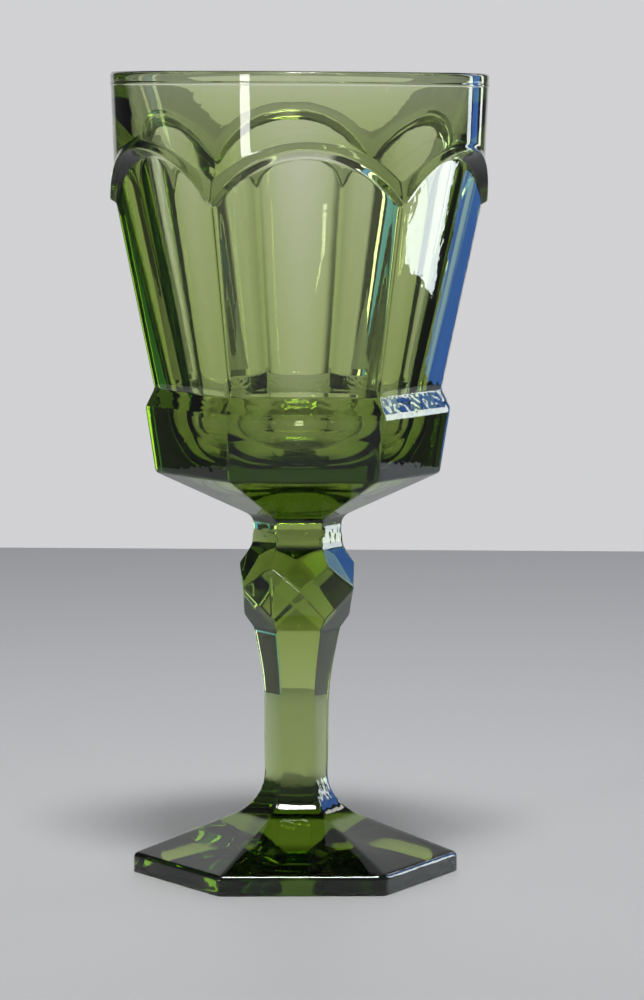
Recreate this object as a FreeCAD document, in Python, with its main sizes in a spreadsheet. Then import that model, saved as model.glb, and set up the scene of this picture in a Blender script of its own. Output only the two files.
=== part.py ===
import FreeCAD, Part
import math
import os
import Sketcher

# Pressed green glass goblet, six-sided from foot to bowl. Millimetres, +Z up, origin under the
# middle of the foot. Each section is modelled from its own lower face and then placed on the one
# below. "face" sizes run from the axis to a flat side of the hexagon, "corner" sizes to a corner.

DIMENSIONS = [
    # heights of the sections, foot to rim
    ("foot_height", "28.8"),
    ("stem_height", "25.8"),
    ("knop_height", "21.05"),
    ("base_height", "31.45"),
    ("bowl_height", "69.4"),
    # shared by every cutting profile
    ("side_count", "6"),
    ("cut_under", "-1.0"),
    ("cut_outside", "60.0"),
    ("cut_length", "160.0"),
    ("axis_line", "0.0"),
    ("seat_level", "0.0"),
    # foot
    ("foot_blank_radius", "42.0"),
    ("foot_face", "31.25"),
    ("foot_edge_level", "4.15"),
    ("foot_edge_round", "1.3"),
    ("foot_flare_level", "15.67"),
    ("foot_flare_round", "19.5"),
    ("foot_cut_over", "29.8"),
    ("foot_hollow_radius", "29.0"),
    ("foot_hollow_middle", "14.5"),
    ("foot_hollow_depth", "2.9"),
    ("foot_hollow_round", "143.0"),
    ("foot_base_round", "0.6"),
    # stem
    ("stem_blank_radius", "12.0"),
    ("stem_face_low", "6.2"),
    ("stem_face_high", "8.3"),
    ("stem_bend_level", "13.5"),
    ("stem_bend_round", "145.0"),
    ("stem_cut_over", "26.8"),
    # knop
    ("knop_blank_radius", "15.0"),
    ("knop_girdle_face", "14.05"),
    ("knop_girdle_level", "9.4"),
    ("knop_cove_level", "18.35"),
    ("knop_cove_round", "4.0"),
    ("knop_diamond_low", "11.24"),
    ("knop_diamond_high", "13.393"),
    ("knop_cut_over", "22.05"),
    # belt and funnel under the bowl
    ("neck_face", "8.5"),
    ("neck_flare_level", "3.57"),
    ("neck_flare_round", "5.7"),
    ("base_blank_radius", "38.0"),
    ("belt_low_face", "27.25"),
    ("belt_low_level", "13.3"),
    ("belt_low_round", "1.0"),
    ("belt_wide_face", "29.1"),
    ("belt_wide_level", "26.75"),
    ("belt_land_level", "27.9"),
    ("base_cut_over", "32.45"),
    # inside of the glass
    ("cavity_floor_level", "16.05"),
    ("cavity_floor_radius", "19.412"),
    ("cavity_floor_round", "12.0"),
    ("cavity_base_over", "33.3"),
    ("cavity_base_over_radius", "23.552"),
    ("cavity_under_radius", "22.868"),
    ("cavity_over_level", "60.3"),
    ("cavity_over_radius", "37.58"),
    # bowl
    ("bowl_low_face", "27.6"),
    ("bowl_corner_radius", "40.3"),
    ("bowl_corner_level", "40.2"),
    ("panel_peak_level", "51.3"),
    ("ridge_radius", "41.4"),
    ("ridge_peak_level", "52.9"),
    ("ridge_valley_level", "40.9"),
    ("band_slope", "0.0409"),
    ("band_radius", "40.7"),
    ("band_level", "52.3"),
    ("ledge_peak_level", "54.4"),
    ("ledge_valley_level", "45.8"),
    # rim ring
    ("rim_start_level", "59.3"),
    ("rim_start_radius", "40.986"),
    ("rim_start_inside", "37.34"),
    ("bead_low_level", "66.4"),
    ("bead_low_radius", "41.277"),
    ("bead_radius", "41.45"),
    ("bead_under_level", "66.6"),
    ("bead_over_level", "67.0"),
    ("bead_high_level", "67.2"),
    ("bead_high_radius", "41.31"),
    ("rim_radius", "41.4"),
    ("rim_inside", "39.764"),
    ("rim_outer_round", "0.8"),
    ("rim_inner_round", "0.6"),
]

SIDES = 6
HALF_SIDE = math.pi / SIDES
CURVE_STEPS = 16

doc = FreeCAD.newDocument("goblet")


def add_sheet():
    sheet = doc.addObject("Spreadsheet::Sheet", "dims")
    for row, (alias, text) in enumerate(DIMENSIONS, start=1):
        sheet.set("A%d" % row, alias.replace("_", " "))
        sheet.set("B%d" % row, text)
        sheet.setAlias("B%d" % row, alias)
    doc.recompute()
    return sheet


sheet = add_sheet()


def size(alias):
    return float(sheet.get(alias))


def bind(item, path, alias):
    item.setExpression(path, "dims." + alias)


def origin_feature(body, role):
    return next(f for f in body.Origin.OriginFeatures if f.Role == role)


def add_body(name):
    body = doc.addObject("PartDesign::Body", name)
    body.Label = name
    return body


def add_sketch(body, name, role):
    sketch = body.newObject("Sketcher::SketchObject", name)
    sketch.AttachmentSupport = [(origin_feature(body, role), "")]
    sketch.MapMode = "FlatFace"
    return sketch


def name_constraint(sketch, index, label, alias):
    sketch.renameConstraint(index, label)
    bind(sketch, "Constraints." + label, alias)


def pin_point(sketch, geometry, vertex, tag, corner):
    index = sketch.addConstraint(
        Sketcher.Constraint("DistanceX", -1, 1, geometry, vertex, size(corner[0])))
    name_constraint(sketch, index, "across%d" % tag, corner[0])
    index = sketch.addConstraint(
        Sketcher.Constraint("DistanceY", -1, 1, geometry, vertex, size(corner[1])))
    name_constraint(sketch, index, "level%d" % tag, corner[1])


def corner_round(before, here, after, radius):
    """Tangent points, centre and turning sense of the arc that rounds one corner."""
    back = (before - here).normalize()
    ahead = (after - here).normalize()
    half = back.getAngle(ahead) / 2.0
    reach = radius / math.tan(half)
    middle = (back + ahead).normalize()
    centre = here + middle * (radius / math.sin(half))
    left_turn = (here - before).cross(after - here).z > 0
    return here + back * reach, here + ahead * reach, centre, left_turn


def arc_between(centre, radius, start, end):
    first = math.atan2(start.y - centre.y, start.x - centre.x)
    last = math.atan2(end.y - centre.y, end.x - centre.x)
    circle = Part.Circle(centre, FreeCAD.Vector(0, 0, 1), radius)
    return Part.ArcOfCircle(circle, first, last)


def draw_outline(sketch, corners):
    """Closed outline through corners given as (across, level[, rounding]) names from the sheet."""
    count = len(corners)
    points = [FreeCAD.Vector(size(c[0]), size(c[1]), 0) for c in corners]
    rounds = {}
    for i, corner in enumerate(corners):
        if len(corner) == 3:
            before = FreeCAD.Vector(points[i - 1])
            after = FreeCAD.Vector(points[(i + 1) % count])
            rounds[i] = corner_round(before, points[i], after, size(corner[2]))
    for i in range(count):
        after = (i + 1) % count
        start = rounds[i][1] if i in rounds else points[i]
        end = rounds[after][0] if after in rounds else points[after]
        sketch.addGeometry(Part.LineSegment(start, end), False)
    for i, corner in enumerate(corners):
        if i in rounds:
            draw_round(sketch, i, (i - 1) % count, corner, points[i], rounds[i])
        else:
            sketch.addConstraint(Sketcher.Constraint("Coincident", (i - 1) % count, 2, i, 1))
            pin_point(sketch, i, 1, i, corner)


def draw_round(sketch, tag, line_before, corner, point, rounding):
    entry, leave, centre, left_turn = rounding
    radius = size(corner[2])
    if left_turn:
        arc = sketch.addGeometry(arc_between(centre, radius, entry, leave), False)
    else:
        arc = sketch.addGeometry(arc_between(centre, radius, leave, entry), False)
    mark = sketch.addGeometry(Part.Point(point), True)
    pin_point(sketch, mark, 1, tag, corner)
    sketch.addConstraint(Sketcher.Constraint("PointOnObject", mark, 1, line_before))
    sketch.addConstraint(Sketcher.Constraint("PointOnObject", mark, 1, tag))
    first, last = (1, 2) if left_turn else (2, 1)
    sketch.addConstraint(Sketcher.Constraint("Tangent", line_before, 2, arc, first))
    sketch.addConstraint(Sketcher.Constraint("Tangent", arc, last, tag, 1))
    index = sketch.addConstraint(Sketcher.Constraint("Radius", arc, radius))
    name_constraint(sketch, index, "round%d" % tag, corner[2])


def pad_blank(body, radius_alias, height_alias):
    sketch = add_sketch(body, body.Name + "_blank_outline", "XY_Plane")
    circle = Part.Circle(FreeCAD.Vector(0, 0, 0), FreeCAD.Vector(0, 0, 1), size(radius_alias))
    sketch.addGeometry(circle, False)
    sketch.addConstraint(Sketcher.Constraint("Coincident", 0, 3, -1, 1))
    index = sketch.addConstraint(Sketcher.Constraint("Radius", 0, size(radius_alias)))
    name_constraint(sketch, index, "blank", radius_alias)
    pad = body.newObject("PartDesign::Pad", body.Name + "_blank")
    pad.Profile = sketch
    bind(pad, "Length", height_alias)
    doc.recompute()
    return pad


def cut_sides(body, name, role, corners):
    """Cut one side to an outline drawn on a plane through the axis, and repeat it all round."""
    before = body.Shape.Volume
    sketch = add_sketch(body, name + "_outline", role)
    draw_outline(sketch, corners)
    pocket = body.newObject("PartDesign::Pocket", name)
    pocket.Profile = sketch
    pocket.SideType = "Symmetric"
    bind(pocket, "Length", "cut_length")
    doc.recompute()
    pattern = body.newObject("PartDesign::PolarPattern", name + "_all_round")
    pattern.Originals = [pocket]
    pattern.Axis = (origin_feature(body, "Z_Axis"), [""])
    pattern.Angle = 360
    body.Tip = pattern
    bind(pattern, "Occurrences", "side_count")
    doc.recompute()
    if not 0 < body.Shape.Volume < before:
        raise RuntimeError(name + " removed nothing")


def turned_cut(body, name, corners):
    before = body.Shape.Volume
    sketch = add_sketch(body, name + "_outline", "XZ_Plane")
    draw_outline(sketch, corners)
    groove = body.newObject("PartDesign::Groove", name)
    groove.Profile = sketch
    groove.ReferenceAxis = (sketch, ["V_Axis"])
    groove.Angle = 360
    doc.recompute()
    if not 0 < body.Shape.Volume < before:
        raise RuntimeError(name + " removed nothing")


def turned_body(name, corners):
    body = add_body(name)
    sketch = add_sketch(body, name + "_outline", "XZ_Plane")
    draw_outline(sketch, corners)
    turned = body.newObject("PartDesign::Revolution", name + "_turned")
    turned.Profile = sketch
    turned.ReferenceAxis = (sketch, ["V_Axis"])
    turned.Angle = 360
    doc.recompute()
    return body


def place(item, *heights):
    item.setExpression(".Placement.Base.z", " + ".join("dims." + alias for alias in heights))


def make_foot():
    """Six-sided foot: thin edge, straight sloping top, sweeping up into the narrowest section."""
    body = add_body("foot")
    pad_blank(body, "foot_blank_radius", "foot_height")
    cut_sides(body, "foot_panel", "YZ_Plane", [
        ("foot_face", "cut_under"),
        ("cut_outside", "cut_under"),
        ("cut_outside", "foot_cut_over"),
        ("stem_face_low", "foot_cut_over"),
        ("stem_face_low", "foot_flare_level", "foot_flare_round"),
        ("foot_face", "foot_edge_level", "foot_edge_round"),
    ])
    turned_cut(body, "foot_hollow", [
        ("axis_line", "cut_under"),
        ("foot_hollow_radius", "cut_under"),
        ("foot_hollow_radius", "seat_level"),
        ("foot_hollow_middle", "foot_hollow_depth", "foot_hollow_round"),
        ("axis_line", "foot_hollow_depth"),
    ])
    round_base(body)
    return body


def round_base(body):
    hollowed = body.Tip
    names = []
    for number, edge in enumerate(hollowed.Shape.Edges, start=1):
        flat = abs(edge.BoundBox.ZMax) < 1e-6 and abs(edge.BoundBox.ZMin) < 1e-6
        if flat and isinstance(edge.Curve, Part.Line):
            names.append("Edge%d" % number)
    rounded = body.newObject("PartDesign::Fillet", "foot_base_edges")
    rounded.Base = (hollowed, names)
    bind(rounded, "Radius", "foot_base_round")
    doc.recompute()


def make_stem():
    body = add_body("stem")
    pad_blank(body, "stem_blank_radius", "stem_height")
    cut_sides(body, "stem_panel", "YZ_Plane", [
        ("stem_face_low", "cut_under"),
        ("cut_outside", "cut_under"),
        ("cut_outside", "stem_cut_over"),
        ("stem_face_high", "stem_cut_over"),
        ("stem_face_high", "stem_height"),
        ("stem_face_low", "stem_bend_level", "stem_bend_round"),
    ])
    place(body, "foot_height")
    return body


def make_knop():
    """Faceted knop: six lower and six upper facets over the sides, six diamonds on the corners."""
    body = add_body("knop")
    pad_blank(body, "knop_blank_radius", "knop_height")
    cut_sides(body, "knop_facets", "YZ_Plane", [
        ("stem_face_high", "cut_under"),
        ("cut_outside", "cut_under"),
        ("cut_outside", "knop_cut_over"),
        ("neck_face", "knop_cut_over"),
        ("neck_face", "knop_cove_level", "knop_cove_round"),
        ("knop_girdle_face", "knop_girdle_level"),
        ("stem_face_high", "seat_level"),
    ])
    cut_sides(body, "knop_diamonds", "XZ_Plane", [
        ("knop_diamond_low", "cut_under"),
        ("cut_outside", "cut_under"),
        ("cut_outside", "knop_cut_over"),
        ("knop_diamond_high", "knop_cut_over"),
    ])
    place(body, "foot_height", "stem_height")
    return body


def make_bowl_base():
    """Neck, funnel and belt, with the rounded floor of the cavity sunk into the top."""
    body = add_body("bowl_base")
    pad_blank(body, "base_blank_radius", "base_height")
    cut_sides(body, "belt_panel", "YZ_Plane", [
        ("neck_face", "cut_under"),
        ("cut_outside", "cut_under"),
        ("cut_outside", "base_cut_over"),
        ("bowl_low_face", "base_cut_over"),
        ("bowl_low_face", "base_height"),
        ("belt_wide_face", "belt_land_level"),
        ("belt_wide_face", "belt_wide_level"),
        ("belt_low_face", "belt_low_level", "belt_low_round"),
        ("neck_face", "neck_flare_level", "neck_flare_round"),
    ])
    turned_cut(body, "cavity_floor", [
        ("axis_line", "cavity_floor_level"),
        ("cavity_floor_radius", "cavity_floor_level", "cavity_floor_round"),
        ("cavity_base_over_radius", "cavity_base_over"),
        ("axis_line", "cavity_base_over"),
    ])
    place(body, "foot_height", "stem_height", "knop_height")
    return body


def circle_level(across, half_width, peak, valley):
    """Height of a circular arch that is `peak` high in the middle and `valley` at its ends."""
    rise = peak - valley
    radius = (half_width ** 2 + rise ** 2) / (2.0 * rise)
    return peak - radius + math.sqrt(radius ** 2 - across ** 2)


def curve_through(points):
    curve = Part.BSplineCurve()
    steps = len(points) - 1
    curve.interpolate(Points=points, Parameters=[i / steps for i in range(steps + 1)])
    return curve.toShape()


def band_size(level):
    return size("band_radius") + size("band_slope") * (level - size("band_level"))


def arch_curves():
    """Panel arch, ridge, ledge and top of the band across the side that faces -Y."""
    corner_low = size("bowl_low_face") / math.cos(HALF_SIDE)
    slope = (size("bowl_corner_radius") - corner_low) / size("bowl_corner_level")
    panel, ridge, ledge, band = [], [], [], []
    for i in range(CURVE_STEPS + 1):
        angle = HALF_SIDE * (2.0 * i / CURVE_STEPS - 1.0)
        unit = FreeCAD.Vector(math.sin(angle), -math.cos(angle), 0)
        part_way = math.sin(angle)
        half = size("bowl_corner_radius") / 2.0
        across = size("bowl_corner_radius") * part_way
        level = circle_level(across, half, size("panel_peak_level"), size("bowl_corner_level"))
        face = (corner_low + slope * level) * math.cos(HALF_SIDE)
        panel.append(FreeCAD.Vector(across, -face, level))
        half = size("ridge_radius") / 2.0
        across = size("ridge_radius") * part_way
        level = circle_level(across, half, size("ridge_peak_level"), size("ridge_valley_level"))
        ridge.append(unit * size("ridge_radius") + FreeCAD.Vector(0, 0, level))
        level = circle_level(across, half, size("ledge_peak_level"), size("ledge_valley_level"))
        ledge.append(unit * band_size(level) + FreeCAD.Vector(0, 0, level))
        band.append(unit * size("rim_start_radius")
                    + FreeCAD.Vector(0, 0, size("rim_start_level")))
    top = Part.Arc(band[0], band[CURVE_STEPS // 2], band[-1]).toShape()
    return panel, curve_through(panel), curve_through(ridge), curve_through(ledge), top


def hexagon_corner(angle, radius, level):
    return FreeCAD.Vector(radius * math.cos(angle), radius * math.sin(angle), level)


def turn_copies(shape):
    copies = []
    for i in range(SIDES):
        copy = shape.copy()
        copy.rotate(FreeCAD.Vector(0, 0, 0), FreeCAD.Vector(0, 0, 1), 360.0 / SIDES * i)
        copies.append(copy)
    return copies


def arched_body():
    """Solid with six flat panels that end in raised arches, under a plain round band."""
    points, panel, ridge, ledge, top = arch_curves()
    radius = size("bowl_low_face") / math.cos(HALF_SIDE)
    left = hexagon_corner(-math.pi / 2 - HALF_SIDE, radius, 0)
    right = hexagon_corner(-math.pi / 2 + HALF_SIDE, radius, 0)
    sill = Part.makeLine(left, right)
    sides = [Part.makeLine(right, points[-1]), Part.makeLine(points[0], left)]
    outline = Part.Wire(Part.__sortEdges__([sill, panel] + sides))
    faces = [Part.Face(outline), Part.makeRuledSurface(panel, ridge)]
    faces += [Part.makeRuledSurface(ridge, ledge), Part.makeRuledSurface(ledge, top)]
    all_faces = [copy for face in faces for copy in turn_copies(face)]
    floor = Part.Wire(Part.__sortEdges__(turn_copies(sill)))
    lid = Part.Wire(Part.__sortEdges__(turn_copies(top)))
    all_faces += [Part.Face(floor), Part.Face(lid)]
    shell = Part.makeShell(all_faces)
    shell.sewShape()
    solid = Part.makeSolid(shell)
    if solid.Volume < 0:
        solid.reverse()
    return solid


def make_bowl():
    """Panelled bowl wall with its arches, opened by the cavity and finished by the rim ring."""
    outside = doc.addObject("Part::Feature", "bowl_outside")
    outside.Shape = arched_body()
    inside = turned_body("bowl_inside", [
        ("axis_line", "cut_under"),
        ("cavity_under_radius", "cut_under"),
        ("cavity_over_radius", "cavity_over_level"),
        ("axis_line", "cavity_over_level"),
    ])
    rim = turned_body("bowl_rim", [
        ("rim_start_inside", "rim_start_level"),
        ("rim_start_radius", "rim_start_level"),
        ("bead_low_radius", "bead_low_level"),
        ("bead_radius", "bead_under_level"),
        ("bead_radius", "bead_over_level"),
        ("bead_high_radius", "bead_high_level"),
        ("rim_radius", "bowl_height", "rim_outer_round"),
        ("rim_inside", "bowl_height", "rim_inner_round"),
    ])
    wall = doc.addObject("Part::Cut", "bowl_wall")
    wall.Base = outside
    wall.Tool = inside
    bowl = doc.addObject("Part::Fuse", "bowl")
    bowl.Base = wall
    bowl.Tool = rim
    bowl.Refine = True
    bowl.Label = "bowl"
    place(bowl, "foot_height", "stem_height", "knop_height", "base_height")
    doc.recompute()
    return bowl


def check_and_write(pieces):
    doc.recompute()
    for item in doc.Objects:
        if "Invalid" in item.State or "Error" in item.State:
            raise RuntimeError("%s did not compute: %s" % (item.Name, item.State))
    os.makedirs("parts", exist_ok=True)
    for piece in pieces:
        shape = piece.Shape
        if shape.isNull() or not shape.isValid() or len(shape.Solids) != 1:
            raise RuntimeError(piece.Label + " is not one valid solid")
        box = shape.BoundBox
        print("%-10s volume %9.1f mm3  x %.2f..%.2f  y %.2f..%.2f  z %.2f..%.2f" % (
            piece.Label, shape.Volume, box.XMin, box.XMax, box.YMin, box.YMax, box.ZMin, box.ZMax))
        shape.exportStep("parts/%s.step" % piece.Label)


check_and_write([make_foot(), make_stem(), make_knop(), make_bowl_base(), make_bowl()])
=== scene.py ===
import math

import bpy
import numpy as np
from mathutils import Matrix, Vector, noise


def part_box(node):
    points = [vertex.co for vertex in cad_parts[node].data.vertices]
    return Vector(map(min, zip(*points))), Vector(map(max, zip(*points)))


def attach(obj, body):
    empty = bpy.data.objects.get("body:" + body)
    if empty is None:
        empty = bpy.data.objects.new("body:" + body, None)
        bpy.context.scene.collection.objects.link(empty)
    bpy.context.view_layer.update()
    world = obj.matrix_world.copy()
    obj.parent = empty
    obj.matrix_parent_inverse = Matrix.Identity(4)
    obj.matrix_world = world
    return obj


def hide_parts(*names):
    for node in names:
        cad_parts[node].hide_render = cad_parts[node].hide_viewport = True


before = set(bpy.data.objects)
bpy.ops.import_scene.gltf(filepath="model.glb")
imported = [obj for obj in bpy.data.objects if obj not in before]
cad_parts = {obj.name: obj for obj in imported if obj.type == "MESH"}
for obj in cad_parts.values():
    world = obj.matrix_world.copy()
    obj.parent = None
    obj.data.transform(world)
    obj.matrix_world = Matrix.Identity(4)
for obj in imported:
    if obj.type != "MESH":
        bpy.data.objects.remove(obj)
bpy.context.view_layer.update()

# The glass is one closed mesh made of rings of points. Sizes are in mm, levels are above the
# table, and a "face" is the distance from the axis to a flat side.
MM = 0.001
SIDES = 6
HALF_SECTOR = math.pi / SIDES
SECTOR_COLUMNS = 64
CORNER_CROWDING = 0.75
AXIS_GAP = 0.15
MOST_OF_STRETCH = 0.49

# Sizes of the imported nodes.
FOOT_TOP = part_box("foot")[1][2] / MM
STEM_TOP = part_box("stem")[1][2] / MM
KNOP_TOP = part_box("knop")[1][2] / MM
BELT_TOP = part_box("bowl_base")[1][2] / MM
RIM_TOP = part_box("bowl")[1][2] / MM
FOOT_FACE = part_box("foot")[1][1] / MM
KNOP_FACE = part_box("knop")[1][1] / MM
BELT_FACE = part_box("bowl_base")[1][1] / MM

# Hollow under the foot.
HOLLOW_RADIUS = 29.0
HOLLOW_DEPTH = 2.9
HOLLOW_ROUND = 143.0
RING_SHARES = (0.25, 0.5, 0.75, 1.0)

# Foot: soft lower edge, upright side, and one hollow curve up to the stem.
FOOT_BASE_ROUND = 0.7
FOOT_SIDE_LEVEL = 4.15
FOOT_SIDE_ROUND = 1.3
FOOT_CURVE_LEVEL = 15.67
FOOT_CURVE_ROUND = 19.5
FOOT_RUN_ON = 0.2
FOOT_CORNER_ROUND = 1.6

# Stem: narrow below and wider above one long bend, measured from the top of the foot.
STEM_LOW_FACE = 6.2
STEM_HIGH_FACE = 8.3
STEM_BEND_LEVEL = 13.5
STEM_BEND_ROUND = 145.0
STEM_CORNER_ROUND = 0.55

# Knop, measured from the top of the stem. The diamonds are planes on the corners.
NECK_FACE = 8.5
KNOP_ROW_STEP = 0.25
GIRDLE_LEVEL = 9.4
GIRDLE_BLEND = 0.12
KNOP_UPPER_SLOPE = 0.62
NECK_BLEND = 0.5
DIAMOND_FACE = 11.6
DIAMOND_LEVEL = 2.9
DIAMOND_SLOPE = 0.0932
PLANE_SHARPNESS = 130.0

# Neck, funnel and belt, measured from the top of the knop. The panels' lean is (across, up).
NECK_LEVEL = 3.57
NECK_ROUND = 5.7
BELT_LOW_FACE = 27.25
BELT_LOW_LEVEL = 13.3
BELT_LOW_ROUND = 1.2
BELT_SIDE_LEVEL = 26.75
BELT_SIDE_ROUND = 1.5
BEVEL_LEVEL = 27.9
BEVEL_ROUND = 0.6
BEVEL_FINE_LEVEL = 28.0
BOWL_LOW_FACE = 27.6
BOWL_LOW_ROUND = 0.8
PANEL_LEAN = (1.0, 5.1)
BELT_CORNER_ROUND = 1.2

# Panels and arches, measured from the top of the belt. An arch is (peak, valley, half width).
PANEL_START = 0.5
PANEL_CORNER_RADIUS = 40.3
PANEL_CORNER_LEVEL = 40.2
PANEL_MIDDLE_FACE = 32.0
PANEL_CORNER_ROUND = 2.6
PANEL_BULGE = 0.012
PANEL_ARCH = (51.3, 40.2, 20.15)
RIDGE_ARCH = (52.9, 40.9, 20.7)
LEDGE_ARCH = (54.4, 45.8, 20.35)
VALLEY_SOFTNESS = math.radians(0.7)
PANEL_ROUND = 1.0
RIDGE_RADIUS = 41.4
RIDGE_ROUND = 0.5
LEDGE_ROUND = 2.5

# Plain band, which widens slightly upward.
BAND_RADIUS = 40.7
BAND_LEVEL = 52.3
BAND_SLOPE = 0.0409

# Bead and rim as (radius, depth below the top, rounding).
RIM_OUTLINE = (
    (41.28, 3.0, 0.3),
    (41.45, 2.75, 0.2),
    (41.45, 2.45, 0.2),
    (41.33, 2.2, 0.3),
    (41.4, 0.0, 0.8),
    (39.76, 0.0, 0.7),
    (39.26, 2.1, 0),
)

# Points in each stretch of a bowl column, from the belt to the inside of the rim, and steps in
# each corner between two stretches.
STRETCH_POINTS = (44, 4, 4, 18, 1, 1, 1, 2, 1, 2)
CORNER_STEPS = 6

# Cavity: straight cone down to a rounded floor, measured from the top of the knop.
CAVITY_FLOOR_LEVEL = 16.05
CAVITY_FLOOR_RADIUS = 19.412
CAVITY_FLOOR_ROUND = 12.0

# Mould seams run up three of the six corners.
SEAM_ANGLES = [math.radians(turn) for turn in (-120, 0, 120)]
SEAM_HEIGHT = 0.09
SEAM_WIDTH = 0.22

# Unevenness of the surface. Nothing moves below the clear level, so that the glass stands flat.
CLEAR_LEVEL = 0.4
WAVE_ACROSS = 14
WAVE_UPWARD = 30
WAVE_HEIGHT = 0.05
CHILL_GRAIN = 1.2
CHILL_HEIGHT = 0.10
CHILL_SLANT = 0.8
CHILL_SQUEEZE = 1.3

# Chill marks as (level, spread, strength, least radius, greatest radius):
# the belt's upper edge, the neck and the foot of the stem.
CHILL_PLACES = (
    (BELT_TOP - 1.5, 2.2, 1.0, 27, 50),
    (KNOP_TOP + 1.5, 3.0, 0.5, 0, 14),
    (20.0, 4.5, 0.8, 0, 14),
)

# Glass. The colour comes from absorption, so that thick parts are deeper green.
GLASS_ROUGHNESS = 0.015
GLASS_IOR = 1.52
GLASS_COLOUR = (0.53, 0.655, 0.04, 1.0)
GLASS_DENSITY = 150.0
GRAIN_SCALE = 260.0
GRAIN_DETAIL = 2.0
GRAIN_STRENGTH = 0.03
GRAIN_DEPTH = 0.0004

# Floor, in m, and square to the camera.
VIEW_TURN = math.radians(3.0)
FLOOR_HALF_WIDTH = 0.38
FLOOR_FRONT = -0.80
FLOOR_BACK = 0.70
FLOOR_COLOUR = (0.60, 0.60, 0.61, 1.0)
FLOOR_ROUGHNESS = 0.5
FLOOR_SPECULAR = 0.2

# Brightness of the surroundings, as ramps (from, to, value before, value after).
BACKDROP_NARROWING = -2.2
BACKDROP = (0.0, 0.25, 0.06, 0.64)
ROOM = (0.15, 0.60, 0.26, 0.0)
CEILING_DIMMING = (0.45, 0.90, 1.0, 0.5)
BACKDROP_COLOUR = (1.0, 1.0, 1.02, 1.0)

WHITE = (1.0, 1.0, 1.0)
WINDOW_WHITE = (0.88, 0.97, 1.0)
SKY_BLUE = (0.10, 0.32, 1.0)
LIGHT_TARGET = Vector((0, 0, 0.1))

# Camera: distances in m, lens and sensor in mm.
LENS = 154.3
SENSOR_WIDTH = 36
CAMERA_DISTANCE = 0.941
CAMERA_HEIGHT = 0.1684
CAMERA_SIDESTEP = 0.0054
AIM_HEIGHT = 0.0828
CAMERA_ROLL = math.radians(0.35)

GLASS_BOUNCES = 24
GLOSSY_BOUNCES = 8
TRANSPARENT_BOUNCES = 16


# ---------------------------------------------------------------- outlines

def rounded_path(corners, arc_steps):
    """Points along (across, level, rounding) corners. The two ends stay sharp."""
    places = [np.array(corner[:2]) for corner in corners]
    points = [places[0]]
    for i in range(1, len(corners) - 1):
        points += rounded_corner(*places[i - 1:i + 2], corners[i][2], arc_steps)
    points.append(places[-1])
    return points


def rounded_corner(before, here, after, rounding, steps):
    """Arc that replaces the corner and takes less than half of each stretch beside it."""
    back, ahead = before - here, after - here
    back_length, ahead_length = np.linalg.norm(back), np.linalg.norm(ahead)
    cosine = np.dot(back, ahead) / (back_length * ahead_length)
    half = 0.5 * math.acos(max(-1.0, min(1.0, cosine)))
    room = MOST_OF_STRETCH * min(back_length, ahead_length)
    reach = min(rounding / math.tan(half), room)
    centre = here + (back / back_length + ahead / ahead_length) * reach / (1.0 + cosine)
    start = here + back / back_length * reach
    end = here + ahead / ahead_length * reach
    return arc_points(centre, start, end, steps)


def arc_points(centre, start, end, steps):
    """Points from start to end, the short way round the centre."""
    first = direction(start - centre)
    turn = (direction(end - centre) - first + math.pi) % (2 * math.pi) - math.pi
    radius = np.linalg.norm(start - centre)
    angles = [first + turn * k / steps for k in range(steps + 1)]
    return [centre + radius * np.array([math.cos(angle), math.sin(angle)]) for angle in angles]


def direction(step):
    return math.atan2(step[1], step[0])


def subdivided(points, longest):
    """The same line with no step longer than `longest`."""
    result = [points[0]]
    for start, end in zip(points, points[1:]):
        pieces = max(1, math.ceil(np.linalg.norm(end - start) / longest))
        result += [start + (end - start) * k / pieces for k in range(1, pieces + 1)]
    return result


# ---------------------------------------------------------------- columns round the axis

def column_angles():
    """Angles round the axis, closer together at the corners. A side is centred on -Y."""
    angles = []
    for side in range(SIDES):
        for k in range(SECTOR_COLUMNS):
            even = 2.0 * k / SECTOR_COLUMNS - 1.0
            crowded = math.sin(even * math.pi / 2)
            eased = (1 - CORNER_CROWDING) * even + CORNER_CROWDING * crowded
            angles.append(-math.pi / 2 + HALF_SECTOR * (2 * side + eased))
    return np.array(angles)


ANGLES = column_angles()
UNIT_X, UNIT_Y = np.cos(ANGLES), np.sin(ANGLES)
OFF_FACE = (ANGLES + math.pi / 2 + HALF_SECTOR) % (2 * HALF_SECTOR) - HALF_SECTOR


def facing(turns):
    """Cosine between each column and a plane that many half sectors from its own side."""
    return np.maximum(0, np.cos(OFF_FACE - HALF_SECTOR * turns))


def hexagon(face, rounding):
    """Radius at every column of a hexagon with rounded corners."""
    corner = face / math.cos(HALF_SECTOR)
    pull_in = rounding * (1 / math.cos(HALF_SECTOR) - 1) / corner
    power = math.log(2) / -math.log(1 - pull_in)
    total = sum(facing(turns) ** power for turns in (-2, 0, 2))
    return face / total ** (1 / power)


def hexagon_rows(path, rounding):
    return [(hexagon(face, rounding), flat(level)) for face, level in path]


def round_rows(path):
    return [(flat(radius), flat(level)) for radius, level in path]


def flat(value):
    """The same value at every column."""
    return np.full_like(ANGLES, value)


# ---------------------------------------------------------------- sections

def hollow_rows():
    """Shallow hollow under the foot, from the axis out to the flat ring it stands on."""
    path = [
        (AXIS_GAP, HOLLOW_DEPTH, 0),
        (HOLLOW_RADIUS / 2, HOLLOW_DEPTH, HOLLOW_ROUND),
        (HOLLOW_RADIUS, 0.0, 0),
    ]
    points = rounded_path(path, arc_steps=24)
    rows = round_rows(subdivided(points, longest=1.2))
    edge = hexagon(FOOT_FACE - FOOT_BASE_ROUND, FOOT_CORNER_ROUND)
    for share in RING_SHARES:
        rows.append((HOLLOW_RADIUS + (edge - HOLLOW_RADIUS) * share, flat(0.0)))
    return rows


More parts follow.
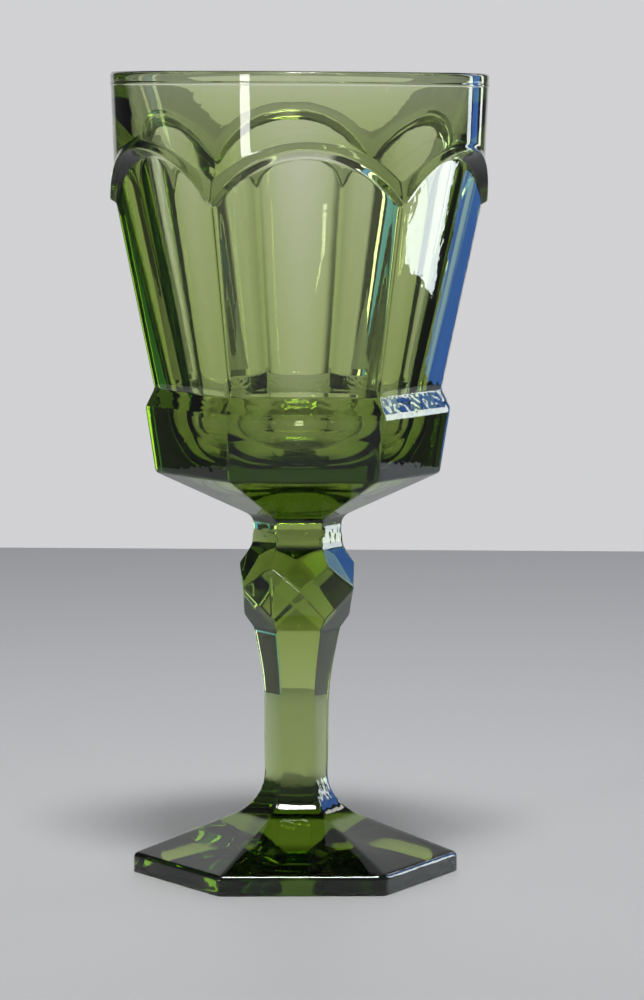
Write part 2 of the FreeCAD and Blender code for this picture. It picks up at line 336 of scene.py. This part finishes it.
def foot_rows():
    """Side and curve of the foot, without the first point, which the ring underneath has, and
    the last, which only gives the direction of the stem."""
    path = [
        (FOOT_FACE - FOOT_BASE_ROUND, 0.0, 0),
        (FOOT_FACE, 0.0, FOOT_BASE_ROUND),
        (FOOT_FACE, FOOT_SIDE_LEVEL, FOOT_SIDE_ROUND),
        (STEM_LOW_FACE, FOOT_CURVE_LEVEL, FOOT_CURVE_ROUND),
        (STEM_LOW_FACE, FOOT_TOP + FOOT_RUN_ON, 0),
    ]
    points = rounded_path(path, arc_steps=10)[1:-1]
    return hexagon_rows(subdivided(points, longest=0.6), FOOT_CORNER_ROUND)


def stem_rows():
    """Waisted stem, without its first point: the glass runs straight on from the foot there."""
    path = [
        (STEM_LOW_FACE, FOOT_TOP, 0),
        (STEM_LOW_FACE, FOOT_TOP + STEM_BEND_LEVEL, STEM_BEND_ROUND),
        (STEM_HIGH_FACE, STEM_TOP, 0),
    ]
    points = rounded_path(path, arc_steps=16)
    return hexagon_rows(subdivided(points, longest=1.2)[1:], STEM_CORNER_ROUND)


def knop_rows():
    """Three rings of planes, softened where they meet: lower, upper and the six diamonds."""
    height = KNOP_TOP - STEM_TOP
    count = round(height / KNOP_ROW_STEP)
    rows = []
    for k in range(1, count):
        level = STEM_TOP + height * k / count
        lower = STEM_HIGH_FACE + (KNOP_FACE - STEM_HIGH_FACE) * (level - STEM_TOP) / GIRDLE_LEVEL
        upper = KNOP_FACE - KNOP_UPPER_SLOPE * (level - (STEM_TOP + GIRDLE_LEVEL))
        upper = NECK_FACE + soft_positive(upper - NECK_FACE, NECK_BLEND)
        face = soft_least(lower, upper, GIRDLE_BLEND)
        diamond = DIAMOND_FACE + DIAMOND_SLOPE * (level - STEM_TOP - DIAMOND_LEVEL)
        rows.append((soft_planes(face, diamond), flat(level)))
    return rows


def soft_least(a, b, blend):
    return 0.5 * (a + b - math.sqrt((a - b) ** 2 + blend ** 2))


def soft_positive(value, blend):
    return 0.5 * (value + math.sqrt(value ** 2 + blend ** 2))


def soft_planes(face, diamond):
    """Radius inside six side planes and six corner planes, with slightly rounded meetings."""
    total = 0
    for turns in (-4, -2, 0, 2, 4):
        total = total + (facing(turns) / face) ** PLANE_SHARPNESS
        total = total + (facing(turns + 1) / diamond) ** PLANE_SHARPNESS
    return total ** (-1 / PLANE_SHARPNESS)


def belt_rows():
    """Neck, funnel, belt and bevel, without the last point, which only gives the panels' lean."""
    path = [
        (NECK_FACE, KNOP_TOP, 0),
        (NECK_FACE, KNOP_TOP + NECK_LEVEL, NECK_ROUND),
        (BELT_LOW_FACE, KNOP_TOP + BELT_LOW_LEVEL, BELT_LOW_ROUND),
        (BELT_FACE, KNOP_TOP + BELT_SIDE_LEVEL, BELT_SIDE_ROUND),
        (BELT_FACE, KNOP_TOP + BEVEL_LEVEL, BEVEL_ROUND),
        (BOWL_LOW_FACE, BELT_TOP, BOWL_LOW_ROUND),
        (BOWL_LOW_FACE + PANEL_LEAN[0], BELT_TOP + PANEL_LEAN[1], 0),
    ]
    points = rounded_path(path, arc_steps=8)[:-1]
    bevel = next(k for k, point in enumerate(points) if point[1] > KNOP_TOP + BEVEL_FINE_LEVEL)
    below = subdivided(points[:bevel], longest=0.8)
    above = subdivided(points[bevel:], longest=0.3)
    return hexagon_rows(below + above, BELT_CORNER_ROUND)


def arch(peak_height, valley_height, half_width):
    """Level at every column of arches that meet in softened points on the corners."""
    peak, valley = BELT_TOP + peak_height, BELT_TOP + valley_height
    to_corner = HALF_SECTOR - np.abs(OFF_FACE)
    softened = HALF_SECTOR - np.sqrt(to_corner ** 2 + VALLEY_SOFTNESS ** 2)
    across = 2 * half_width * np.sin(softened)
    rise = peak - valley
    radius = (half_width ** 2 + rise ** 2) / (2 * rise)
    return peak - radius + np.sqrt(radius ** 2 - across ** 2)


def band_radius(level):
    return BAND_RADIUS + BAND_SLOPE * (level - BELT_TOP - BAND_LEVEL)


def panel_shape():
    """Radius at every column for a panel of face 1: rounded corners and a slight swell."""
    shape = hexagon(1.0, PANEL_CORNER_ROUND / PANEL_MIDDLE_FACE)
    return shape + PANEL_BULGE * (1 - (OFF_FACE / HALF_SECTOR) ** 2)


def bowl_rows():
    """Panel, ridge, ledge, band and rim of every column, with the same number of rows in each."""
    panel_top, ridge, ledge = arch(*PANEL_ARCH), arch(*RIDGE_ARCH), arch(*LEDGE_ARCH)
    slope = (PANEL_CORNER_RADIUS * math.cos(HALF_SECTOR) - BOWL_LOW_FACE) / PANEL_CORNER_LEVEL
    start = BELT_TOP + PANEL_START
    shape = panel_shape()
    rim = [(radius, RIM_TOP - depth, rounding) for radius, depth, rounding in RIM_OUTLINE]
    columns = []
    for i in range(len(ANGLES)):
        low = (BOWL_LOW_FACE + slope * (start - BELT_TOP)) * shape[i]
        top = (BOWL_LOW_FACE + slope * (panel_top[i] - BELT_TOP)) * shape[i]
        path = [
            (low, start, 0),
            (top, panel_top[i], PANEL_ROUND),
            (RIDGE_RADIUS, ridge[i], RIDGE_ROUND),
            (band_radius(ledge[i]), ledge[i], LEDGE_ROUND),
        ]
        columns.append(spread_column(path + rim))
    rows = np.array(columns)
    return [(rows[:, k, 0], rows[:, k, 1]) for k in range(rows.shape[1])]


def spread_column(path):
    """Rounded column with a fixed number of points in each stretch, so that rows line up."""
    points = rounded_path(path, CORNER_STEPS)
    result = []
    position = 0
    for i, count in enumerate(STRETCH_POINTS):
        start, end = points[position], points[position + 1]
        result += [start + (end - start) * k / count for k in range(count)]
        position += 1
        if i < len(STRETCH_POINTS) - 1:
            result += points[position:position + CORNER_STEPS]
            position += CORNER_STEPS
    result.append(points[-1])
    return result


def cavity_rows():
    """Inside of the bowl, from under the rim down to the axis."""
    floor = KNOP_TOP + CAVITY_FLOOR_LEVEL
    lip_radius, lip_depth, _ = RIM_OUTLINE[-1]
    path = [
        (lip_radius, RIM_TOP - lip_depth, 0),
        (CAVITY_FLOOR_RADIUS, floor, CAVITY_FLOOR_ROUND),
        (AXIS_GAP, floor, 0),
    ]
    points = rounded_path(path, arc_steps=26)
    return round_rows(subdivided(points, longest=1.1)[1:])


def with_seams(rows):
    """The rows with a fine raised line on the corners where the mould parts met."""
    result = []
    for radius, level in rows:
        raised = flat(0.0)
        for seam in SEAM_ANGLES:
            away = (ANGLES - seam + math.pi) % (2 * math.pi) - math.pi
            raised += SEAM_HEIGHT * np.exp(-(away * radius / SEAM_WIDTH) ** 2)
        result.append((radius + raised, level))
    return result


# ---------------------------------------------------------------- mesh

def ring_faces(row_count):
    """Quads between neighbouring rings, and a fan of triangles at each end of the axis."""
    count = len(ANGLES)
    last = 1 + (row_count - 1) * count
    end_point = last + count
    faces = []
    for low in range(1, last, count):
        high = low + count
        for i in range(count):
            j = (i + 1) % count
            faces.append((low + i, low + j, high + j, high + i))
    for i in range(count):
        j = (i + 1) % count
        faces.append((0, 1 + j, 1 + i))
        faces.append((end_point, last + i, last + j))
    return faces


def mesh_from_rows(name, rows):
    """Closed mesh from rings of points, with one point on the axis at each end."""
    points = [(0.0, 0.0, float(rows[0][1][0]))]
    for radius, level in rows:
        points += list(zip(radius * UNIT_X, radius * UNIT_Y, level))
    points.append((0.0, 0.0, float(rows[-1][1][0])))
    mesh = bpy.data.meshes.new(name)
    mesh.from_pydata([(x * MM, y * MM, z * MM) for x, y, z in points], [], ring_faces(len(rows)))
    mesh.validate()
    mesh.update()
    mesh.shade_smooth()
    return mesh


def add_piece(name, mesh):
    piece = bpy.data.objects.new(name, mesh)
    bpy.context.scene.collection.objects.link(piece)
    return piece


def make_uneven(mesh):
    """Pressed glass is not quite even: broad waves everywhere, fine chill marks in some places."""
    normals = [Vector(vertex.normal) for vertex in mesh.vertices]
    for vertex, normal in zip(mesh.vertices, normals):
        place = vertex.co / MM
        if place.z < CLEAR_LEVEL:
            continue
        broad = Vector((place.x / WAVE_ACROSS, place.y / WAVE_ACROSS, place.z / WAVE_UPWARD))
        slanted = Vector((place.x + CHILL_SLANT * place.z, place.y, CHILL_SQUEEZE * place.z))
        amount = WAVE_HEIGHT * noise.noise(broad)
        amount += CHILL_HEIGHT * chill(place) * noise.noise(slanted / CHILL_GRAIN)
        vertex.co += normal * amount * MM


def chill(place):
    """Strength of the chill marks here."""
    side = math.hypot(place.x, place.y)
    total = 0.0
    for level, spread, strength, least, greatest in CHILL_PLACES:
        if least <= side < greatest:
            total += strength * math.exp(-((place.z - level) / spread) ** 2)
    return total


# ---------------------------------------------------------------- materials

def glass_material():
    material = bpy.data.materials.new("green_pressed_glass")
    material.use_nodes = True
    nodes, links = material.node_tree.nodes, material.node_tree.links
    shader = nodes["Principled BSDF"]
    shader.inputs["Base Color"].default_value = (1.0, 1.0, 1.0, 1.0)
    shader.inputs["Transmission Weight"].default_value = 1.0
    shader.inputs["Roughness"].default_value = GLASS_ROUGHNESS
    shader.inputs["IOR"].default_value = GLASS_IOR
    absorb = nodes.new("ShaderNodeVolumeAbsorption")
    absorb.inputs["Color"].default_value = GLASS_COLOUR
    absorb.inputs["Density"].default_value = GLASS_DENSITY
    links.new(absorb.outputs["Volume"], nodes["Material Output"].inputs["Volume"])
    place = nodes.new("ShaderNodeTexCoord")
    grain = nodes.new("ShaderNodeTexNoise")
    grain.inputs["Scale"].default_value = GRAIN_SCALE
    grain.inputs["Detail"].default_value = GRAIN_DETAIL
    bump = nodes.new("ShaderNodeBump")
    bump.inputs["Strength"].default_value = GRAIN_STRENGTH
    bump.inputs["Distance"].default_value = GRAIN_DEPTH
    links.new(place.outputs["Object"], grain.inputs["Vector"])
    links.new(grain.outputs["Fac"], bump.inputs["Height"])
    links.new(bump.outputs["Normal"], shader.inputs["Normal"])
    return material


def floor_material():
    material = bpy.data.materials.new("floor_paint")
    material.use_nodes = True
    shader = material.node_tree.nodes["Principled BSDF"]
    shader.inputs["Base Color"].default_value = FLOOR_COLOUR
    shader.inputs["Roughness"].default_value = FLOOR_ROUGHNESS
    shader.inputs["Specular IOR Level"].default_value = FLOOR_SPECULAR
    return material


# ---------------------------------------------------------------- the glass

def make_goblet():
    """The whole glass, from the hollow underneath, up the outside, and down inside to the floor."""
    rows = hollow_rows()
    rows += with_seams(foot_rows() + stem_rows() + knop_rows() + belt_rows())
    rows += bowl_rows() + cavity_rows()
    mesh = mesh_from_rows("goblet_glass", rows)
    make_uneven(mesh)
    mesh.materials.append(glass_material())
    piece = add_piece("goblet_glass", mesh)
    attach(piece, "root")
    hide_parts("foot", "stem", "knop", "bowl_base", "bowl")


# ---------------------------------------------------------------- stage, light, camera

def make_floor():
    """Pale table top, square to the camera."""
    mesh = bpy.data.meshes.new("floor")
    corners = [
        (-FLOOR_HALF_WIDTH, FLOOR_FRONT, 0),
        (FLOOR_HALF_WIDTH, FLOOR_FRONT, 0),
        (FLOOR_HALF_WIDTH, FLOOR_BACK, 0),
        (-FLOOR_HALF_WIDTH, FLOOR_BACK, 0),
    ]
    mesh.from_pydata(corners, [], [(0, 1, 2, 3)])
    mesh.materials.append(floor_material())
    floor = add_piece("floor", mesh)
    floor.rotation_euler.z = -VIEW_TURN


def math_node(tree, operation, *inputs):
    """Output of a Math node. Each input is a number or another node's output."""
    node = tree.nodes.new("ShaderNodeMath")
    node.operation = operation
    for socket, value in zip(node.inputs, inputs):
        if isinstance(value, float):
            socket.default_value = value
        else:
            tree.links.new(value, socket)
    return node.outputs["Value"]


def ramp_node(tree, source, stops):
    """Output that changes smoothly from one value to another as the source rises."""
    node = tree.nodes.new("ShaderNodeMapRange")
    node.interpolation_type = "SMOOTHSTEP"
    for name, value in zip(("From Min", "From Max", "To Min", "To Max"), stops):
        node.inputs[name].default_value = value
    tree.links.new(source, node.inputs["Value"])
    return node.outputs["Result"]


def make_world():
    """Bright backdrop straight behind the glass, dark on either side of it, grey elsewhere."""
    world = bpy.data.worlds.new("studio")
    bpy.context.scene.world = world
    world.use_nodes = True
    tree = world.node_tree
    place = tree.nodes.new("ShaderNodeTexCoord")
    split = tree.nodes.new("ShaderNodeSeparateXYZ")
    tree.links.new(place.outputs["Generated"], split.inputs["Vector"])
    right, back, up = (split.outputs[axis] for axis in "XYZ")
    off_axis = math_node(tree, "ABSOLUTE", right)
    narrowed = math_node(tree, "MULTIPLY_ADD", off_axis, BACKDROP_NARROWING, back)
    level = math_node(tree, "ADD", ramp_node(tree, narrowed, BACKDROP), ramp_node(tree, back, ROOM))
    level = math_node(tree, "MULTIPLY", level, ramp_node(tree, up, CEILING_DIMMING))
    background = tree.nodes["Background"]
    background.inputs["Color"].default_value = BACKDROP_COLOUR
    tree.links.new(level, background.inputs["Strength"])


def add_light(name, turn, distance, height, size, power, colour=WHITE, spread=180):
    """Soft panel aimed at the glass. `turn` is degrees to the right of straight behind it."""
    data = bpy.data.lights.new(name, "AREA")
    data.shape = "RECTANGLE"
    data.size, data.size_y = size
    data.energy = power
    data.color = colour
    data.spread = math.radians(spread)
    light = bpy.data.objects.new(name, data)
    angle = math.radians(turn)
    place = Vector((distance * math.sin(angle), distance * math.cos(angle), height))
    light.location = place
    light.rotation_euler = (place - LIGHT_TARGET).to_track_quat("Z", "Y").to_euler()
    light.visible_camera = False
    bpy.context.scene.collection.objects.link(light)


def make_lights():
    """Windows behind on the right, a strip in front on the left, and a key light high in front."""
    add_light("window", turn=56.5, distance=1.3, height=0.33, size=(0.11, 0.96), power=2.0,
              colour=WINDOW_WHITE)
    add_light("sky", turn=48.0, distance=1.3, height=0.31, size=(0.22, 0.98), power=1.3,
              colour=SKY_BLUE)
    add_light("far_window", turn=37.0, distance=1.3, height=0.25, size=(0.10, 1.0), power=1.0)
    add_light("strip", turn=-144.4, distance=1.5, height=0.15, size=(0.15, 0.9), power=6.0)
    add_light("key", turn=180.0, distance=0.85, height=2.3, size=(0.5, 0.5), power=1.6, spread=36)


def make_camera():
    data = bpy.data.cameras.new("camera")
    data.lens = LENS
    data.sensor_width = SENSOR_WIDTH
    camera = bpy.data.objects.new("camera", data)
    bpy.context.scene.collection.objects.link(camera)
    across, back = math.cos(VIEW_TURN), math.sin(VIEW_TURN)
    sidestep = Vector((across, -back, 0)) * CAMERA_SIDESTEP
    stand = Vector((-CAMERA_DISTANCE * back, -CAMERA_DISTANCE * across, CAMERA_HEIGHT))
    camera.location = stand + sidestep
    aim = Vector((0, 0, AIM_HEIGHT)) + sidestep
    camera.rotation_euler = (aim - camera.location).to_track_quat("-Z", "Y").to_euler()
    camera.rotation_euler.rotate_axis("Z", CAMERA_ROLL)
    bpy.context.scene.camera = camera


def make_render_settings():
    """Enough bounces for light to leave the thick glass, and colours shown as they are."""
    scene = bpy.context.scene
    scene.cycles.max_bounces = GLASS_BOUNCES
    scene.cycles.transmission_bounces = GLASS_BOUNCES
    scene.cycles.transparent_max_bounces = TRANSPARENT_BOUNCES
    scene.cycles.glossy_bounces = GLOSSY_BOUNCES
    scene.view_settings.view_transform = "Standard"


make_goblet()
make_floor()
make_world()
make_lights()
make_camera()
make_render_settings()
